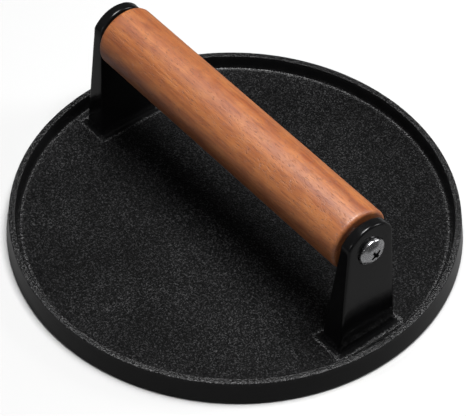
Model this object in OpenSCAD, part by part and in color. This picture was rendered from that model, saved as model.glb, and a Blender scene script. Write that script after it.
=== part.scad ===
// Round cast-iron patty press with a turned wooden grip.
// The origin is the middle of the underside. +Z is up, and the grip runs along X.
// Every screw, rod and bore of the handle is centred on one line, at axis_h above the underside.

/* [Press plate] */
// Diameter of the plate at its widest, just above the underside
plate_d = 181; // [160:1:200]
// Outside diameter of the rim at its top, where the plate's wall has leaned inwards
rim_d = 178.4; // [158:0.1:200]
// Height of the raised rim above the underside
rim_h = 10.4; // [8:0.1:14]
// Thickness of the plate inside the rim
floor_t = 4.8; // [3.6:0.1:6]
// Width of the rim's flat top
rim_top_w = 2.7; // [2:0.1:4]
// Width from the plate's widest edge to the foot of the rim's inner wall
rim_foot_w = 5.5; // [4.5:0.1:7]
// Slope between the floor and the rim's inner wall, measured along each
dish_slope = 1; // [0.5:0.1:1.5]
// Chamfer of the rim's two top edges, measured along each side
rim_chamfer = 0.5; // [0.3:0.1:0.8]
// Chamfer of the pressing face's edge
base_chamfer = 0.8; // [0.5:0.1:1.5]

/* [Uprights] */
// Distance from the middle to an upright's outer face, at the floor
outer_foot_x = 78.7; // [76:0.1:79]
// Distance from the middle to an upright's outer face, at the handle's axis
outer_top_x = 76.8; // [76:0.1:78]
// Distance from the middle to an upright's inner face, at the floor
inner_foot_x = 68.2; // [67:0.1:70]
// Distance from the middle to an upright's inner face, at the handle's axis
inner_top_x = 71.3; // [71:0.1:72]
// Width of an upright at the floor
foot_w = 27.8; // [24:0.1:30]
// Width of an upright at the height of the handle's axis
neck_w = 21.8; // [20:0.1:24]
// Radius of an upright's round top, which meets the straight sides at two shoulders
top_r = 11.8; // [11:0.1:13]
// How far the cast foot spreads on the floor, all round the upright
foot_spread = 2; // [1.5:0.1:3]

/* [Handle] */
// Height of the handle's axis above the underside
axis_h = 51.9; // [48:0.1:60]
// Diameter of the wooden grip
grip_d = 26.2; // [24:0.1:30]
// Length of the wooden grip
grip_l = 140.8; // [138:0.1:141]
// Rounding of the grip's ends
grip_round_r = 1.6; // [1:0.1:2.5]
// Diameter of the steel rod inside the grip
rod_d = 10; // [9:0.1:12]
// Radial running clearance between the rod and the grip
rod_clearance = 0.08; // [0.04:0.01:0.1]
// Chamfer on the rod's ends
rod_chamfer = 0.5; // [0.3:0.1:0.8]

/* [Screws] */
// Thread diameter of the two handle screws
screw_d = 6; // [5:0.5:6]
// Length of a screw under its head
screw_l = 20; // [16:1:24]
// Diameter of the pan head
head_d = 11.6; // [10:0.1:12]
// Full height of the pan head
head_h = 3.6; // [3.2:0.1:4.6]
// Height of the head's straight side, under its dome
head_side_h = 1.3; // [0.8:0.1:1.8]
// Span of the cross recess
recess_span = 5; // [4.4:0.1:6]
// Depth of the cross recess
recess_depth = 2.2; // [1.6:0.1:2.6]
// Width of one wing of the cross recess
recess_wing_w = 1.1; // [0.8:0.1:1.4]

/* [Hidden] */
$fn = 96;

IRON = [0.10, 0.10, 0.11];
WOOD = [0.72, 0.43, 0.26];
STEEL = [0.72, 0.72, 0.74];

plate_r = plate_d / 2;
rim_r = rim_d / 2;
// Screw holes let the thread pass freely, and each side of a hole is faced square to the axis
hole_d = screw_d + 0.6;
head_seat_d = head_d + 0.8;
rod_seat_d = rod_d + 1;
// Depth of a seat at its shallow edge, which is its top
seat_skim = 0.1;
head_seat_x = face_x(outer_foot_x, outer_top_x, head_seat_d / 2) - seat_skim;
rod_seat_x = face_x(inner_foot_x, inner_top_x, rod_seat_d / 2) + seat_skim;
// The rod's threads are plain: the hole is this much wider than the screw
thread_gap = 0.1;
tapped_depth = screw_l - (head_seat_x - rod_seat_x) + 3;
// Lean of an upright's faces, as the mould needs to let go of it
rise = axis_h - floor_t;
outer_draft = atan((outer_foot_x - outer_top_x) / rise);
inner_draft = atan((inner_top_x - inner_foot_x) / rise);
side_lean = atan((foot_w - neck_w) / 2 / rise);
// Depth to which an upright and its foot run into the plate, so that they are one casting
root = 3;
big = 200;

// Distance from the middle to a drafted face, at a height above the handle's axis
function face_x(foot_x, top_x, above_axis) =
    top_x + (top_x - foot_x) / (axis_h - floor_t) * above_axis;

// Half the width of an upright's straight sides, at a height above the underside
function side_y(z) = foot_w / 2 - (z - floor_t) * tan(side_lean);

// Unit vector from a to b
function towards(a, b) = (b - a) / norm(b - a);

// Area between the square corner p of an outline and a circle of radius r that touches
// both of its edges, which run towards the points a and b
module corner_sliver(p, a, b, r) {
    along_a = towards(p, a) * r;
    along_b = towards(p, b) * r;
    centre = p + along_a + along_b;
    difference() {
        polygon([p, p + along_a, centre, p + along_b]);
        translate(centre) circle(r);
    }
}

// Half section of the plate: a flat disc with a raised rim, open at the top
module plate_section() {
    floor_middle = [0, floor_t];
    floor_edge = [plate_r - rim_foot_w, floor_t];
    rim_inner = [rim_r - rim_top_w, rim_h];
    rim_outer = [rim_r, rim_h];
    widest = [plate_r, base_chamfer];
    polygon([
        [0, 0],
        [plate_r - base_chamfer, 0],
        widest,
        rim_outer + rim_chamfer * towards(rim_outer, widest),
        rim_outer + rim_chamfer * towards(rim_outer, rim_inner),
        rim_inner + rim_chamfer * towards(rim_inner, rim_outer),
        rim_inner + rim_chamfer * towards(rim_inner, floor_edge),
        floor_edge + dish_slope * towards(floor_edge, rim_inner),
        floor_edge + dish_slope * towards(floor_edge, floor_middle),
        floor_middle
    ]);
}

// Front view of an upright: straight leaning sides, cut off by a round top
module upright_outline() {
    root_z = floor_t - root;
    top_z = axis_h + top_r;
    intersection() {
        polygon([
            [-side_y(root_z), root_z],
            [side_y(root_z), root_z],
            [side_y(top_z), top_z],
            [-side_y(top_z), top_z]
        ]);
        union() {
            translate([0, axis_h]) circle(top_r);
            translate([-foot_w, 0]) square([2 * foot_w, axis_h]);
        }
    }
}

// The right-hand upright, with both broad faces leaning by their draft
module upright() {
    difference() {
        translate([inner_foot_x - root, 0, 0])
            rotate([90, 0, 90])
                linear_extrude(outer_foot_x - inner_foot_x + 2 * root)
                    upright_outline();
        translate([outer_foot_x, 0, floor_t])
            rotate([0, -outer_draft, 0])
                translate([0, -big / 2, -big / 2])
                    cube(big);
        translate([inner_foot_x, 0, floor_t])
            rotate([0, inner_draft, 0])
                translate([-big, -big / 2, -big / 2])
                    cube(big);
    }
}

// The sloping foot that spreads an upright's load into the floor
module foot() {
    // How far the foot's top edges lie inside the upright. They differ, so that the foot's
    // corner edges meet the upright's flat sides and not its own corner edges.
    skin = 0.2;
    side_skin = 0.7;
    foot_top = floor_t + foot_spread;
    above_axis = foot_top - axis_h;
    top_in = face_x(inner_foot_x, inner_top_x, above_axis) + skin;
    top_out = face_x(outer_foot_x, outer_top_x, above_axis) - skin;
    top_y = side_y(foot_top) - side_skin;
    low_in = inner_foot_x - foot_spread;
    low_out = outer_foot_x + foot_spread;
    low_y = foot_w / 2 + foot_spread;
    hull() {
        translate([low_in, -low_y, floor_t - root])
            cube([low_out - low_in, 2 * low_y, root]);
        translate([top_in, -top_y, floor_t])
            cube([top_out - top_in, 2 * top_y, foot_spread]);
    }
}

// The right-hand screw hole, with its two faced seats
module screw_hole() {
    translate([rod_seat_x - 2 * root, 0, axis_h])
        rotate([0, 90, 0])
            cylinder(d = hole_d, h = 6 * root);
    translate([head_seat_x, 0, axis_h])
        rotate([0, 90, 0])
            cylinder(d = head_seat_d, h = 2 * root);
    translate([rod_seat_x - 2 * root, 0, axis_h])
        rotate([0, 90, 0])
            cylinder(d = rod_seat_d, h = 2 * root);
}

// The casting: plate, rim and both uprights in one piece
module press_plate() {
    color(IRON)
        difference() {
            union() {
                rotate_extrude() plate_section();
                for (side = [0, 1])
                    mirror([side, 0, 0]) {
                        upright();
                        foot();
                    }
            }
            for (side = [0, 1])
                mirror([side, 0, 0])
                    screw_hole();
        }
}

// Half section of the grip, along its own axis
module grip_section() {
    bore_r = rod_d / 2 + rod_clearance;
    grip_r = grip_d / 2;
    low = [grip_r, -grip_l / 2];
    high = [grip_r, grip_l / 2];
    difference() {
        translate([bore_r, -grip_l / 2])
            square([grip_r - bore_r, grip_l]);
        corner_sliver(low, [0, -grip_l / 2], high, grip_round_r);
        corner_sliver(high, low, [0, grip_l / 2], grip_round_r);
    }
}

module wooden_grip() {
    color(WOOD)
        translate([0, 0, axis_h])
            rotate([0, 90, 0])
                rotate_extrude()
                    grip_section();
}

// Half section of the tie rod, along its own axis: chamfered, and tapped at both ends
module rod_section() {
    half_l = rod_seat_x;
    rod_r = rod_d / 2;
    tapped_r = (screw_d + thread_gap) / 2;
    difference() {
        polygon([
            [0, -half_l],
            [rod_r - rod_chamfer, -half_l],
            [rod_r, rod_chamfer - half_l],
            [rod_r, half_l - rod_chamfer],
            [rod_r - rod_chamfer, half_l],
            [0, half_l]
        ]);
        for (end = [-1, 1])
            translate([0, end * half_l])
                square([2 * tapped_r, 2 * tapped_depth], center = true);
    }
}

// The steel rod that the grip turns on. It spans the uprights and holds them apart.
module tie_rod() {
    color(STEEL)
        translate([0, 0, axis_h])
            rotate([0, 90, 0])
                rotate_extrude()
                    rod_section();
}

// Cross recess for a screwdriver, cut down from a dome whose top is at z = 0
module cross_recess() {
    intersection() {
        translate([0, 0, -recess_depth])
            cylinder(d1 = recess_wing_w, d2 = recess_span * 1.1, h = recess_depth * 1.1);
        for (turn = [45, 135])
            rotate([0, 0, turn])
                translate([0, 0, -recess_depth / 2])
                    cube([recess_span * 2, recess_wing_w, recess_depth * 2], center = true);
    }
}

// A pan-head screw. Its seat is at z = 0, with its head above and its shank below.
module pan_head_screw() {
    dome_rise = head_h - head_side_h;
    dome_r = (pow(head_d / 2, 2) + pow(dome_rise, 2)) / (2 * dome_rise);
    tip = 1;
    difference() {
        intersection() {
            cylinder(d = head_d, h = head_h);
            translate([0, 0, head_h - dome_r]) sphere(dome_r);
        }
        translate([0, 0, head_h]) cross_recess();
    }
    translate([0, 0, tip - screw_l])
        cylinder(d = screw_d, h = screw_l - tip + head_side_h / 2);
    translate([0, 0, -screw_l])
        cylinder(d1 = screw_d - tip, d2 = screw_d, h = tip);
}

// The screw through the right-hand upright
module right_screw() {
    color(STEEL)
        translate([head_seat_x, 0, axis_h])
            rotate([0, 90, 0])
                pan_head_screw();
}

// The screw through the left-hand upright
module left_screw() {
    color(STEEL)
        mirror([1, 0, 0])
            translate([head_seat_x, 0, axis_h])
                rotate([0, 90, 0])
                    pan_head_screw();
}

press_plate();
wooden_grip();
tie_rod();
right_screw();
left_screw();
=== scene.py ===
"""Round cast-iron patty press with a turned wooden grip.

Lengths are in millimetres until a mesh is made, and in metres after that.
"""

import math

import bmesh
import bpy
from mathutils import Matrix, Vector, noise


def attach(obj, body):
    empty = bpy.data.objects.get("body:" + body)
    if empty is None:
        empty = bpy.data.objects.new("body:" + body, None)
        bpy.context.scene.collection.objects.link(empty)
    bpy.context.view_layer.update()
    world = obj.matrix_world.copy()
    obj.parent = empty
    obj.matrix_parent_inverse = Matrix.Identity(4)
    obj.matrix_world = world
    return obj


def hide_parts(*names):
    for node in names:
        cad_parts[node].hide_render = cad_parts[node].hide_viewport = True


MM = 0.001

# The casting
PLATE_R = 90.5
RIM_R = 89.2
FLOOR_Z = 4.8
RIM_Z = 10.4
OUTER_FOOT_X, OUTER_TOP_X = 78.7, 76.8
INNER_FOOT_X, INNER_TOP_X = 68.2, 71.3
FOOT_HALF_W, NECK_HALF_W = 13.9, 10.9
TOP_R = 11.8
AXIS_Z = 51.9
UPRIGHT_EDGE_R = 0.9
FILLET_R = 2.0
# Where the floor ends, the raised line along the rim's foot, and the rim's inner wall
FLOOR_R, RIM_BEAD_R = 84.3, 84.55
RIM_FOOT_R, RIM_IN_R = 85.1, 86.5
# The skin on top of the rim starts at this height
RIM_SKIN_Z = 9.9
# The raised line where the smooth skin round a foot ends: half width, and its two x
BEAD_HALF_W, BEAD_IN_X, BEAD_OUT_X = 15.8, 65.5, 81.5
# The handle
GRIP_R = 13.1
GRIP_HALF_L = 70.4
ROD_R = 5.0
BORE_R = 5.08
SCREW_R = 3.0
SCREW_L = 20.0
HEAD_R = 5.8
# Turn of the cross recess about the screw, in degrees
RECESS_TURN = 37

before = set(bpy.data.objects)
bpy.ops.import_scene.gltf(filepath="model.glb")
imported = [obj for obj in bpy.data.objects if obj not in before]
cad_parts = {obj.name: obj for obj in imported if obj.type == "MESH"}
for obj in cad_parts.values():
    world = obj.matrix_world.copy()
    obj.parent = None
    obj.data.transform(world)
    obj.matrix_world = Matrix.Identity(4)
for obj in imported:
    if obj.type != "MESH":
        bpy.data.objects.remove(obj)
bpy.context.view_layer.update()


# ---------------------------------------------------------------- mesh tools


def new_object(name, points, faces):
    """A mesh object from points in millimetres, with its normals turned outwards."""
    mesh = bpy.data.meshes.new(name)
    mesh.from_pydata([[c * MM for c in p] for p in points], [], faces)
    bm = bmesh.new()
    bm.from_mesh(mesh)
    bmesh.ops.remove_doubles(bm, verts=bm.verts, dist=2e-6)
    bmesh.ops.recalc_face_normals(bm, faces=bm.faces)
    bm.to_mesh(mesh)
    bm.free()
    obj = bpy.data.objects.new(name, mesh)
    bpy.context.scene.collection.objects.link(obj)
    return obj


def rounded(corners, steps=5):
    """The polyline through corners [(u, v, radius)], with an arc at each corner that has one."""
    line = []
    for i, (u, v, radius) in enumerate(corners):
        here = Vector((u, v))
        if not radius:
            line.append((u, v))
            continue
        before = (Vector(corners[i - 1][:2]) - here).normalized()
        after = (Vector(corners[i + 1][:2]) - here).normalized()
        half = before.angle(after) / 2
        reach = radius / math.tan(half)
        centre = here + (before + after).normalized() * (radius / math.sin(half))
        a = here + before * reach - centre
        b = here + after * reach - centre
        turn = a.angle_signed(b)
        for k in range(steps + 1):
            spun = Matrix.Rotation(-turn * k / steps, 2) @ a
            line.append(tuple(centre + spun))
    return line


def subdivided(line, longest):
    """The polyline with extra points, so that no step is longer than longest."""
    out = [line[0]]
    for a, b in zip(line, line[1:]):
        n = max(1, math.ceil(math.dist(a, b) / longest))
        out += [tuple(p + (q - p) * k / n for p, q in zip(a, b)) for k in range(1, n + 1)]
    return out


def zip_rings(a, b):
    """Faces between two closed rings of points, given as (first index, count, phase)."""
    (a0, n, pa), (b0, m, pb) = a, b
    if n == m and pa == pb:
        return [
            (a0 + i, a0 + (i + 1) % n, b0 + (i + 1) % n, b0 + i) for i in range(n)
        ]
    faces, i, j = [], 0, 0
    while i < n or j < m:
        if j >= m or (i < n and (i + 1 + pa) / n <= (j + 1 + pb) / m):
            faces.append((a0 + i % n, a0 + (i + 1) % n, b0 + j % m))
            i += 1
        else:
            faces.append((a0 + i % n, b0 + (j + 1) % m, b0 + j % m))
            j += 1
    return faces


def lathe(name, line, count, place, close=False):
    """A solid of revolution. line is [(radius, along)], and place(r, angle, along) is a point."""
    points, rings, faces = [], [], []
    for r, along in line:
        if r < 1e-6:
            rings.append((len(points), 1))
            points.append(place(0.0, 0.0, along))
            continue
        rings.append((len(points), count))
        points += [place(r, math.tau * i / count, along) for i in range(count)]
    pairs = list(zip(rings, rings[1:]))
    if close:
        pairs.append((rings[-1], rings[0]))
    for (a, n), (b, m) in pairs:
        for i in range(count):
            k = (i + 1) % count
            if n == 1:
                faces.append((a, b + k, b + i))
            elif m == 1:
                faces.append((a + i, a + k, b))
            else:
                faces.append((a + i, a + k, b + k, b + i))
    return new_object(name, points, faces)


def about_handle(r, angle, along):
    """A point of a lathed piece on the handle's axis."""
    return (along, r * math.cos(angle), AXIS_Z + r * math.sin(angle))


def joined(base, operation, *others):
    """base with the others added to it or cut from it, as one clean mesh."""
    for other in others:
        mod = base.modifiers.new("cut", "BOOLEAN")
        mod.operation = operation
        mod.solver = "MANIFOLD"
        mod.object = other
    bpy.context.view_layer.update()
    made = base.evaluated_get(bpy.context.evaluated_depsgraph_get())
    mesh = bpy.data.meshes.new_from_object(made)
    base.modifiers.clear()
    old = base.data
    base.data = mesh
    bpy.data.meshes.remove(old)
    for other in others:
        bpy.data.meshes.remove(other.data)
    return base


def smooth(obj, sharp_over):
    obj.data.shade_smooth()
    obj.data.set_sharp_from_angle(angle=math.radians(sharp_over))


def step01(low, high, value):
    t = min(1.0, max(0.0, (value - low) / (high - low)))
    return t * t * (3 - 2 * t)


def wander(x, y, size, seed):
    """Smooth noise from -1 to 1 with features of that size."""
    return noise.noise(Vector((x / size, y / size, seed)))


# ---------------------------------------------------------------- the casting


def face_x(foot_x, top_x, z):
    return top_x + (foot_x - top_x) * (AXIS_Z - z) / (AXIS_Z - FLOOR_Z)


def from_bead(x, y):
    """Distance on the floor from the raised line round the nearer foot, negative inside it."""
    corner_r = 1.0
    dx = abs(abs(x) - (BEAD_OUT_X + BEAD_IN_X) / 2) - (BEAD_OUT_X - BEAD_IN_X) / 2 + corner_r
    dy = abs(y) - BEAD_HALF_W + corner_r
    return math.hypot(max(dx, 0), max(dy, 0)) + min(max(dx, dy), 0) - corner_r


def grain(x, y):
    """Relief of the cast floor's pebbled skin."""
    return (
        0.07 * wander(x, y, 1.3, 3.1)
        + 0.06 * wander(x, y, 0.85, 7.7)
        + 0.03 * wander(x, y, 5.0, 1.3)
    )


def from_lines(x, y):
    """Distances from the wavering raised lines round the nearer foot and along the rim's foot."""
    wobble = 0.35 * wander(x, y, 2.6, 11.0) + 0.3 * wander(x, y, 1.1, 5.0)
    return from_bead(x, y) + wobble, RIM_BEAD_R - math.hypot(x, y) + wobble


def floor_relief(x, y):
    """Height of the floor's skin over its plain level."""
    lump = 0.2 + 0.38 * wander(x, y, 0.95, 21.0)
    to_foot, to_rim = from_lines(x, y)
    bead = math.exp(-((to_foot / 0.4) ** 2)) + 0.7 * math.exp(-((to_rim / 0.45) ** 2))
    skin = step01(-0.3, 0.5, to_foot) * step01(-0.4, 0.4, to_rim)
    return skin * grain(x, y) + lump * bead


def rim_line():
    """Section of the rim from the floor's edge, over the top and down to the pressing face."""
    line = rounded(
        [
            (FLOOR_R, FLOOR_Z, 0),
            (RIM_FOOT_R, FLOOR_Z, 0.6),
            (RIM_IN_R, RIM_Z, 0.4),
            (RIM_R, RIM_Z, 0.45),
            (PLATE_R + 0.1, 0, 0.9),
            (88.0, 0, 0),
        ]
    )
    return subdivided(line, 1.3)


def plate():
    """The disc with its rim: rings of points from the floor's middle to the underside's."""
    spacing, rim_count = 0.68, 660
    points, rings, faces = [(0, 0, FLOOR_Z + floor_relief(0, 0))], [], []

    def ring(r, z, count, phase, relief):
        rings.append((len(points), count, phase))
        for i in range(count):
            turn = math.tau * (i + phase) / count
            x, y = r * math.cos(turn), r * math.sin(turn)
            points.append((x, y, z + relief(x, y)))

    n_floor = round(FLOOR_R / spacing)
    for k in range(1, n_floor):
        r = FLOOR_R * k / n_floor
        count = max(6, round(math.tau * r / (spacing * 1.1)))
        ring(r, FLOOR_Z, count, 0.5 * (k % 2), floor_relief)
    for r, z in rim_line():
        share = step01(86.4, 86.7, r) * step01(RIM_SKIN_Z, RIM_Z, z) * 0.45
        if r < 84.5:
            ring(r, z, rim_count, 0, floor_relief)
        else:
            ring(r, z, rim_count, 0, lambda x, y, s=share: -0.05 * s + s * grain(x, y))
    for r, count in ((82, 330), (70, 200), (50, 110), (30, 64), (12, 24)):
        ring(r, 0, count, 0, lambda x, y: 0)
    points.append((0, 0, 0))

    first, last = rings[0], rings[-1]
    faces += [(0, first[0] + i, first[0] + (i + 1) % first[1]) for i in range(first[1])]
    for a, b in zip(rings, rings[1:]):
        faces += zip_rings(a, b)
    tip = len(points) - 1
    faces += [(tip, last[0] + (i + 1) % last[1], last[0] + i) for i in range(last[1])]
    return new_object("press_casting", points, faces)


def skin_x(face, z, flare):
    """x of an upright's outer or inner face at a height, moved outwards by flare."""
    if face == "out":
        return face_x(OUTER_FOOT_X, OUTER_TOP_X, z) + flare
    return face_x(INNER_FOOT_X, INNER_TOP_X, z) - flare


def section(y_at, z_at, flare, columns=14, corner=7, side=3):
    """Loop of points round an upright at one row. y_at and z_at give the outline's point at an inset."""
    edge = UPRIGHT_EDGE_R + flare
    quarter = [math.pi / 2 * k / corner for k in range(corner + 1)]
    inwards = {"out": -1, "in": 1}
    loop = []

    def edge_point(sign, inset, depth, face):
        z = z_at(inset)
        return (skin_x(face, z, flare) + inwards[face] * depth, sign * y_at(inset), z)

    def turn(sign, face, onto_side):
        for q in quarter if onto_side else reversed(quarter):
            inset, depth = edge * (1 - math.sin(q)), edge * (1 - math.cos(q))
            loop.append(edge_point(sign, inset, depth, face))

    def across(face, order):
        y, z = y_at(edge), z_at(edge)
        for k in range(1, columns):
            share = order * (2 * k / columns - 1)
            loop.append((skin_x(face, z, flare), share * y, z))

    def along_side(sign, start, end):
        a, b = (edge_point(sign, 0, edge, face) for face in (start, end))
        for k in range(1, side):
            loop.append(tuple(p + (q - p) * k / side for p, q in zip(a, b)))

    across("out", 1)
    turn(1, "out", True)
    along_side(1, "out", "in")
    turn(1, "in", False)
    across("in", -1)
    turn(-1, "in", True)
    along_side(-1, "in", "out")
    turn(-1, "out", False)
    return loop


def half_w(z):
    """Half width of an upright's drafted sides at a height."""
    return NECK_HALF_W + (AXIS_Z - z) * (FOOT_HALF_W - NECK_HALF_W) / (AXIS_Z - FLOOR_Z)


def shoulder_z(inset):
    """Height where an upright's side meets its round top, for outlines drawn in by an inset."""
    low, high = AXIS_Z, AXIS_Z + TOP_R - inset - 0.01
    for _ in range(40):
        z = (low + high) / 2
        if half_w(z) - inset < math.sqrt((TOP_R - inset) ** 2 - (z - AXIS_Z) ** 2):
            low = z
        else:
            high = z
    return low


def foot_rows():
    """Heights and flares of an upright's foot. Its fillet ends in a crease, a little under the floor."""
    bottom, steps = FLOOR_Z - 0.55, 7
    rows = [(bottom - 1.6, FILLET_R), (bottom - 0.5, FILLET_R)]
    for k in range(steps + 1):
        turn = math.pi / 2 * k / steps
        rows.append((bottom + FILLET_R * (1 - math.cos(turn)), FILLET_R * (1 - math.sin(turn))))
    return rows


def foot_loop(z, flare):
    return section(lambda inset: half_w(z) + flare - inset, lambda inset: z, flare)


def side_loop(start_z, share):
    def z_at(inset):
        return start_z + (shoulder_z(inset) - start_z) * share

    return section(lambda inset: half_w(z_at(inset)) - inset, z_at, 0)


def top_loop(share):
    def turn_at(inset):
        start = math.asin((shoulder_z(inset) - AXIS_Z) / (TOP_R - inset))
        return start + (math.pi / 2 - start) * share

    return section(
        lambda inset: (TOP_R - inset) * math.cos(turn_at(inset)),
        lambda inset: AXIS_Z + (TOP_R - inset) * math.sin(turn_at(inset)),
        0,
    )


def upright(sign):
    """A drafted upright with rounded edges, and a concave fillet that flares into the floor."""
    side_rows, top_rows = 16, 26
    rows = foot_rows()
    loops = [foot_loop(z, flare) for z, flare in rows]
    loops += [side_loop(rows[-1][0], k / side_rows) for k in range(1, side_rows + 1)]
    loops += [top_loop(k / top_rows) for k in range(1, top_rows + 1)]
    count = len(loops[0])
    points = [(sign * x, y, z) for loop in loops for x, y, z in loop]
    faces = [tuple(reversed(range(count)))]
    for j in range(len(loops) - 1):
        a, b = j * count, (j + 1) * count
        faces += [(a + i, a + (i + 1) % count, b + (i + 1) % count, b + i) for i in range(count)]
    # The last loop has no width, so it closes across itself.
    top = (len(loops) - 1) * count
    faces.append(tuple(top + i for i in range(count)))
    return new_object("upright", points, faces)


HEAD_SEAT_R, ROD_SEAT_R = HEAD_R + 0.4, ROD_R + 0.5
HEAD_SEAT_X = skin_x("out", AXIS_Z + HEAD_SEAT_R, 0) - 0.1
ROD_SEAT_X = skin_x("in", AXIS_Z + ROD_SEAT_R, 0) + 0.1


def hole_cutter(sign):
    """The screw hole through an upright, with its two faced seats."""
    hole_r, start, end = 3.3, 62, 86
    line = [
        (0, start),
        (ROD_SEAT_R, start),
        (ROD_SEAT_R, ROD_SEAT_X),
        (hole_r, ROD_SEAT_X),
        (hole_r, HEAD_SEAT_X),
        (HEAD_SEAT_R, HEAD_SEAT_X),
        (HEAD_SEAT_R, end),
        (0, end),
    ]
    return lathe("hole", line, 96, lambda r, a, s: about_handle(r, a, sign * s))


def mark_skin(obj):
    """Marks where the skin is pebbled, and where it is coloured brighter along its raised lines and
    edges: partly wear, partly painted highlight.
    """
    mesh = obj.data
    pebbled = mesh.attributes.new("pebbled", "FLOAT", "POINT")
    wear_and_highlight = mesh.attributes.new("wear_and_highlight", "FLOAT", "POINT")
    for v, p, w in zip(mesh.vertices, pebbled.data, wear_and_highlight.data):
        x, y, z = (c / MM for c in v.co)
        r = math.hypot(x, y)
        if z < 4:
            continue
        if z < 5.6:
            to_foot, to_rim = from_lines(x, y)
            p.value = 0.5 * step01(-1.0, -0.4, to_foot) * (1 - step01(84.8, 85.3, r))
            # Brighter colour along the raised lines at the feet and at the rim's foot: partly wear,
            # partly painted highlight.
            foot_line = math.exp(-((to_foot / 0.5) ** 2))
            w.value = max(foot_line, 0.5 * math.exp(-((to_rim / 0.6) ** 2)))
        elif RIM_SKIN_Z < z < RIM_Z + 0.3 and r > 86.2:
            p.value = 0.5 * step01(86.4, 86.8, r) * step01(RIM_SKIN_Z, 10.25, z)
            # Painted highlight along the rim's outer and inner top edges, with a slight brightening over
            # the whole rim top.
            outer = math.exp(-(((r - RIM_R + 0.2) / 0.3) ** 2))
            inner = math.exp(-(((r - 86.75) / 0.3) ** 2))
            w.value = max(0.5 * outer, 0.22 * inner, 0.04)


def floor_faces(mesh):
    """The faces of the floor's open skin, clear of the raised lines at the rim and the feet."""
    for face in mesh.polygons:
        x, y, z = (c / MM for c in face.center)
        if 4 < z < 5.5 and math.hypot(x, y) < 83.9 and from_bead(x, y) > 0.6:
            yield face


casting = joined(plate(), "UNION", upright(1), upright(-1))
joined(casting, "DIFFERENCE", hole_cutter(1), hole_cutter(-1))
mark_skin(casting)
smooth(casting, 40)

# ---------------------------------------------------------------- the grip


def grip():
    """The turned grip, bored through, with its bore's mouths eased."""
    end = GRIP_HALF_L
    outside = rounded(
        [
            (BORE_R, -end + 0.4, 0),
            (BORE_R + 0.4, -end, 0),
            (GRIP_R, -end, 1.5),
            (GRIP_R, end, 1.5),
            (BORE_R + 0.4, end, 0),
            (BORE_R, end - 0.4, 0),
        ],
        8,
    )
    return lathe("grip_wood", subdivided(outside, 2.0), 144, about_handle, close=True)


wooden_grip = grip()
smooth(wooden_grip, 40)

# ---------------------------------------------------------------- the screws


def screw(name, sign):
    """A pan-head M6 screw with a cross recess, its head on the seat of an upright."""
    pitch, depth = 1.0, 0.55
    thread_end = HEAD_SEAT_X - SCREW_L
    thread_start = HEAD_SEAT_X - 2.5
    head = rounded(
        [
            (SCREW_R + 0.2, 0, 0),
            (HEAD_R, 0, 0.25),
            (HEAD_R, 1.55, 0.9),
            (3.4, 3.15, 4.0),
            (0, 3.6, 0),
        ],
        7,
    )
    line = [(0, thread_end), (SCREW_R - 1.0, thread_end)]
    first, steps = thread_end + 0.5, int((thread_start - thread_end) / pitch * 8)
    for k in range(1, steps + 1):
        line.append((SCREW_R - 0.02, first + (thread_start - first) * k / steps))
    line += [(SCREW_R, thread_start + 0.6), (SCREW_R, HEAD_SEAT_X - 0.2)]
    line += [(r, HEAD_SEAT_X + s) for r, s in head]

    def place(r, angle, along):
        if SCREW_R - 0.03 < r < SCREW_R - 0.01:
            turn = (along / pitch - angle / math.tau) % 1.0
            tooth = abs(turn - 0.5) * 2
            fade = 1.0 - step01(thread_start - 1.2, thread_start - 0.1, along)
            r -= depth * step01(0.15, 0.85, tooth) * fade
        return about_handle(r, angle, sign * along)

    body = lathe(name, line, 72, place)
    return joined(body, "DIFFERENCE", recess_cutter(sign))


def recess_cutter(sign):
    """The cross recess: four wings that narrow towards the bottom."""
    # height over the seat, reach of the wings, their half width, and the web between them
    levels = [
        (3.9, 2.5, 0.62, 0.42),
        (3.0, 2.2, 0.6, 0.38),
        (2.2, 1.7, 0.55, 0.3),
        (0.9, 0.8, 0.45, 0.1),
    ]
    points = []
    for height, reach, half, web in levels:
        wing = [(reach, -half), (reach, half), (half + web, half), (half, half + web)]
        for turn in range(4):
            spin = Matrix.Rotation(math.pi / 2 * turn + math.radians(RECESS_TURN), 2)
            for corner in wing:
                y, z = spin @ Vector(corner)
                points.append((sign * (HEAD_SEAT_X + height), y, AXIS_Z + z))
    n = 16
    faces = [tuple(range(n)), tuple((len(levels) - 1) * n + i for i in reversed(range(n)))]
    for j in range(len(levels) - 1):
        faces += [
            (j * n + i, j * n + (i + 1) % n, (j + 1) * n + (i + 1) % n, (j + 1) * n + i)
            for i in range(n)
        ]
    return new_object("recess", points, faces)


def paint_recess_shade(obj):
    """Painted shade: a near-black colour on the walls and the bottom of the cross recess."""
    mesh = obj.data
    marks = mesh.attributes.new("painted_recess_shade", "FLOAT", "POINT")
    for v, mark in zip(mesh.vertices, marks.data):
        x, y, z = (c / MM for c in v.co)
        height = abs(x) - HEAD_SEAT_X
        from_axis = math.hypot(y, z - AXIS_Z)
        mark.value = 1.0 if 0.5 < height < 3.1 and from_axis < 2.8 else 0.0


right_screw = screw("handle_screw_right", 1)
left_screw = screw("handle_screw_left", -1)
for piece in (right_screw, left_screw):
    paint_recess_shade(piece)
    smooth(piece, 35)

# ---------------------------------------------------------------- materials


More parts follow.
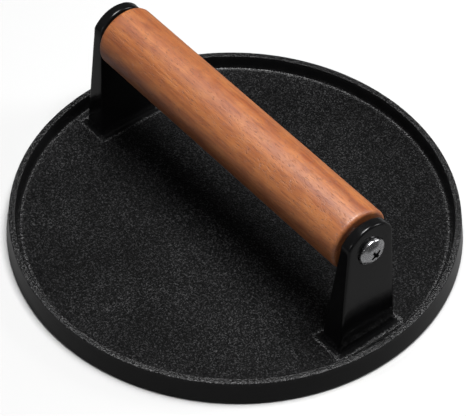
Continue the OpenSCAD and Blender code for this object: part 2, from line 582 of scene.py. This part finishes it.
class Nodes:
    """A material's node tree, with short calls to add to it."""

    def __init__(self, name):
        self.material = bpy.data.materials.new(name)
        self.material.use_nodes = True
        self.tree = self.material.node_tree
        self.shader = self.tree.nodes["Principled BSDF"]
        self.place = self.add("ShaderNodeTexCoord").outputs["Object"]

    def add(self, kind, **settings):
        node = self.tree.nodes.new(kind)
        for key, value in settings.items():
            setattr(node, key, value)
        return node

    def link(self, source, target):
        self.tree.links.new(source, target)

    def put(self, socket, value):
        """Sets a socket to a value, or links another node's output to it."""
        if isinstance(value, bpy.types.NodeSocket):
            self.link(value, socket)
        else:
            socket.default_value = value

    def set(self, node, **values):
        for key, value in values.items():
            self.put(node.inputs[key.replace("_", " ")], value)

    def scaled(self, x, y, z):
        node = self.add("ShaderNodeMapping")
        node.inputs["Scale"].default_value = (x, y, z)
        self.link(self.place, node.inputs["Vector"])
        return node.outputs["Vector"]

    def noise(self, where, scale, detail=2.0, rough=0.5, distort=0.0):
        node = self.add("ShaderNodeTexNoise")
        self.set(node, Vector=where, Scale=scale, Detail=detail, Roughness=rough, Distortion=distort)
        return node.outputs["Fac"]

    def ramp(self, value, low, high, to_low=0.0, to_high=1.0):
        node = self.add("ShaderNodeMapRange", interpolation_type="SMOOTHSTEP")
        self.link(value, node.inputs["Value"])
        for key, v in (("From Min", low), ("From Max", high), ("To Min", to_low), ("To Max", to_high)):
            node.inputs[key].default_value = v
        return node.outputs["Result"]

    def math(self, operation, a, b):
        node = self.add("ShaderNodeMath", operation=operation)
        for socket, value in zip(node.inputs, (a, b)):
            self.put(socket, value)
        return node.outputs["Value"]

    def mix(self, share, a, b):
        node = self.add("ShaderNodeMix", data_type="RGBA")
        for key, kind, value in (("Factor", "VALUE", share), ("A", "RGBA", a), ("B", "RGBA", b)):
            self.put(next(s for s in node.inputs if s.name == key and s.type == kind), value)
        return next(s for s in node.outputs if s.type == "RGBA")

    def bump(self, height, distance, under=None):
        node = self.add("ShaderNodeBump")
        self.link(height, node.inputs["Height"])
        node.inputs["Distance"].default_value = distance
        node.inputs["Strength"].default_value = 1.0
        if under is not None:
            self.link(under, node.inputs["Normal"])
        return node.outputs["Normal"]


def cast_iron():
    n = Nodes("cast_iron_look")
    pebbled = n.add("ShaderNodeAttribute", attribute_name="pebbled").outputs["Fac"]
    wear_and_highlight = n.add("ShaderNodeAttribute", attribute_name="wear_and_highlight").outputs["Fac"]
    skin = n.noise(n.place, 1250.0, 2.0, 0.6)
    patches = n.noise(n.place, 90.0, 3.0, 0.6)
    fine = n.noise(n.place, 420.0, 2.0, 0.5)
    # Grainy specks that break the brighter lines into painted glints.
    painted_glint = n.ramp(n.noise(n.place, 1400.0, 2.0, 0.6), 0.42, 0.68)
    n.set(n.shader, Specular_IOR_Level=0.27)
    dark = n.mix(n.ramp(patches, 0.35, 0.7), (0.0038, 0.0038, 0.004, 1), (0.0055, 0.0055, 0.0058, 1))
    # Painted highlight and glints: brighter colour along the raised lines and the rim's edges, partly
    # wear.
    bright = n.mix(n.math("MULTIPLY", wear_and_highlight, painted_glint), dark, (0.082, 0.082, 0.084, 1))
    n.link(bright, n.shader.inputs["Base Color"])
    smooth_rough = n.ramp(fine, 0.3, 0.7, 0.15, 0.20)
    rough = n.math("ADD", smooth_rough, n.math("MULTIPLY", pebbled, 0.12))
    n.link(rough, n.shader.inputs["Roughness"])
    relief = n.math("MULTIPLY", skin, pebbled)
    first = n.bump(relief, 0.0009)
    n.link(n.bump(fine, 0.00002, first), n.shader.inputs["Normal"])
    return n.material


def cast_floor():
    n = Nodes("cast_floor_look")
    skin = n.noise(n.place, 1300.0, 2.0, 0.6)
    patches = n.noise(n.place, 28.0, 3.0, 0.6)
    # Painted glints: bright specks in the floor's colour stand in for the sparkle of its pebbled skin.
    painted_glint = n.ramp(n.noise(n.scaled(1.0, 1.0, 0.3), 1800.0, 2.0, 0.6), 0.48, 0.78)
    n.set(n.shader, Specular_IOR_Level=0.06, Roughness=0.5)
    dull = n.mix(n.ramp(patches, 0.3, 0.7), (0.0012, 0.0012, 0.0013, 1), (0.0026, 0.0026, 0.0028, 1))
    bright = n.mix(n.ramp(patches, 0.3, 0.7), (0.034, 0.034, 0.035, 1), (0.062, 0.062, 0.063, 1))
    n.link(n.mix(painted_glint, dull, bright), n.shader.inputs["Base Color"])
    n.link(n.bump(skin, 0.0005), n.shader.inputs["Normal"])
    return n.material


def wood():
    n = Nodes("wood_look")
    bands = n.noise(n.scaled(9, 160, 160), 1.0, 4.0, 0.6, 0.6)
    streaks = n.noise(n.scaled(45, 900, 900), 1.0, 3.0, 0.6, 0.2)
    fibre = n.noise(n.scaled(160, 3200, 3200), 1.0, 2.0, 0.5)
    lines = n.noise(n.scaled(75, 2000, 2000), 1.0, 2.0, 0.6)
    mottle = n.noise(n.scaled(110, 260, 260), 1.0, 3.0, 0.6)
    pores = n.ramp(n.noise(n.scaled(620, 3100, 3100), 1.0, 1.0, 0.5), 0.58, 0.72)
    base = n.mix(n.ramp(bands, 0.3, 0.7), (0.26, 0.064, 0.015, 1), (0.43, 0.140, 0.034, 1))
    base = n.mix(n.math("MULTIPLY", n.ramp(streaks, 0.35, 0.7), 0.6), base, (0.18, 0.041, 0.010, 1))
    base = n.mix(n.math("MULTIPLY", n.ramp(lines, 0.48, 0.68), 0.4), base, (0.17, 0.040, 0.010, 1))
    base = n.mix(n.math("MULTIPLY", n.ramp(mottle, 0.4, 0.7), 0.4), base, (0.48, 0.176, 0.045, 1))
    base = n.mix(n.math("MULTIPLY", pores, 0.7), base, (0.10, 0.027, 0.009, 1))
    n.link(base, n.shader.inputs["Base Color"])
    n.link(n.ramp(fibre, 0.3, 0.7, 0.42, 0.54), n.shader.inputs["Roughness"])
    n.set(n.shader, Specular_IOR_Level=1.0)
    height = n.math("SUBTRACT", n.math("MULTIPLY", fibre, 0.3), pores)
    n.link(n.bump(height, 0.00006), n.shader.inputs["Normal"])
    return n.material


def steel():
    n = Nodes("steel_look")
    painted_recess_shade = n.add("ShaderNodeAttribute", attribute_name="painted_recess_shade").outputs["Fac"]
    spots = n.noise(n.place, 700.0, 3.0, 0.6)
    fine = n.noise(n.place, 3000.0, 2.0, 0.5)
    n.set(n.shader, Metallic=1.0)
    bright = n.mix(n.ramp(spots, 0.3, 0.7), (0.56, 0.56, 0.57, 1), (0.72, 0.72, 0.74, 1))
    # Painted shade: the cross recess is coloured nearly black.
    n.link(n.mix(painted_recess_shade, bright, (0.03, 0.03, 0.03, 1)), n.shader.inputs["Base Color"])
    n.link(n.ramp(fine, 0.3, 0.7, 0.18, 0.28), n.shader.inputs["Roughness"])
    n.link(n.bump(spots, 0.00002), n.shader.inputs["Normal"])
    return n.material


iron_look, floor_look, wood_look, steel_look = cast_iron(), cast_floor(), wood(), steel()


def finish_piece(obj, look, body, slot_name, *nodes):
    obj.data.materials.clear()
    obj.data.materials.append(look)
    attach(obj, body)
    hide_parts(*nodes)


finish_piece(casting, iron_look, "press", "cast_iron", "press_plate")
casting.data.materials.append(floor_look)
for face in floor_faces(casting.data):
    face.material_index = 1
finish_piece(wooden_grip, wood_look, "grip", "wood", "wooden_grip")
finish_piece(right_screw, steel_look, "press", "steel", "right_screw")
finish_piece(left_screw, steel_look, "press", "steel", "left_screw")
tie_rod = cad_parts["tie_rod"]
for material_slot in tie_rod.material_slots:
    material_slot.material = steel_look

# ---------------------------------------------------------------- the studio


def floor_plane():
    """The floor. The camera sees it nearly white, but it lights the press like a dark grey one."""
    half, z = 4, -0.05 * MM
    mesh = bpy.data.meshes.new("studio_floor")
    corners = [(-half, -half, z), (half, -half, z), (half, half, z), (-half, half, z)]
    mesh.from_pydata(corners, [], [(0, 1, 2, 3)])
    obj = bpy.data.objects.new("studio_floor", mesh)
    bpy.context.scene.collection.objects.link(obj)
    look = Nodes("studio_floor_look")
    seen = look.add("ShaderNodeLightPath").outputs["Is Camera Ray"]
    colour = look.mix(seen, (0.16, 0.16, 0.16, 1), (0.59, 0.59, 0.59, 1))
    look.link(colour, look.shader.inputs["Base Color"])
    look.set(look.shader, Roughness=0.9, Specular_IOR_Level=0.0, Emission_Color=(1, 1, 1, 1))
    # It glows for the camera beyond the lights' reach, so that it looks white there too.
    away = look.add("ShaderNodeVectorMath", operation="LENGTH")
    look.link(look.place, away.inputs[0])
    glow = look.math("MULTIPLY", seen, look.ramp(away.outputs["Value"], 0.16, 0.7))
    look.link(glow, look.shader.inputs["Emission Strength"])
    mesh.materials.append(look.material)


def softbox(name, at, aim, size, power):
    """A square area light at a point, turned towards another."""
    light = bpy.data.lights.new(name, "AREA")
    light.shape = "RECTANGLE"
    light.size = light.size_y = size
    light.energy = power
    obj = bpy.data.objects.new(name, light)
    bpy.context.scene.collection.objects.link(obj)
    obj.location = at
    obj.rotation_euler = (Vector(aim) - Vector(at)).to_track_quat("-Z", "Y").to_euler()


def surroundings():
    """The world: dim for the press, so that its shadows stay deep, and white for the camera."""
    world = bpy.data.worlds.new("studio")
    world.use_nodes = True
    tree = world.node_tree
    sky = tree.nodes["Background"]
    sky.inputs["Color"].default_value = (1, 1, 1, 1)
    seen = tree.nodes.new("ShaderNodeLightPath").outputs["Is Camera Ray"]
    strength = tree.nodes.new("ShaderNodeMapRange")
    strength.inputs["To Min"].default_value = 0.06
    strength.inputs["To Max"].default_value = 1.0
    tree.links.new(seen, strength.inputs["Value"])
    tree.links.new(strength.outputs["Result"], sky.inputs["Strength"])
    bpy.context.scene.world = world


floor_plane()
softbox("key", (0.03, 0.08, 1.0), (0, 0, 0), 0.45, 16.6)
softbox("rim", (0.45, 0.75, 0.5), (0, 0, 0.05), 0.3, 2.4)
softbox("side", (-0.14, -0.81, 0.40), (0, 0, 0.05), 0.14, 0.5)
surroundings()
bpy.context.scene.view_settings.view_transform = "Standard"

# The camera: 47 degrees up and 50 degrees round from the front, with a slight roll
ELEVATION, AZIMUTH, ROLL = math.radians(47.381), math.radians(49.538), math.radians(1.492)
DISTANCE = 0.9594
# Its aim is this far above the frame's origin and left of it, as the camera sees them
AIM_UP, AIM_LEFT = 6.9 * MM, 0.57 * MM
SENSOR_W, LENS, CLIP_END = 36, 186.06, 20


def camera_matrix():
    """The camera's place and turn, from its angles, its distance and its aim."""
    back = Vector(
        (
            math.sin(AZIMUTH) * math.cos(ELEVATION),
            -math.cos(AZIMUTH) * math.cos(ELEVATION),
            math.sin(ELEVATION),
        )
    )
    level = Vector((math.cos(AZIMUTH), math.sin(AZIMUTH), 0))
    above = back.cross(level)
    right = level * math.cos(ROLL) + above * math.sin(ROLL)
    above = above * math.cos(ROLL) - level * math.sin(ROLL)
    place = back * DISTANCE
    aim = above * AIM_UP - right * AIM_LEFT
    back = (place - aim).normalized()
    right = (right - back * right.dot(back)).normalized()
    above = back.cross(right)
    return Matrix([[right[i], above[i], back[i], place[i]] for i in range(3)] + [[0, 0, 0, 1]])


def add_camera():
    data = bpy.data.cameras.new("camera")
    data.sensor_width = SENSOR_W
    data.lens = LENS
    data.clip_end = CLIP_END
    camera = bpy.data.objects.new("camera", data)
    bpy.context.scene.collection.objects.link(camera)
    camera.matrix_world = camera_matrix()
    return camera


bpy.context.scene.camera = add_camera()
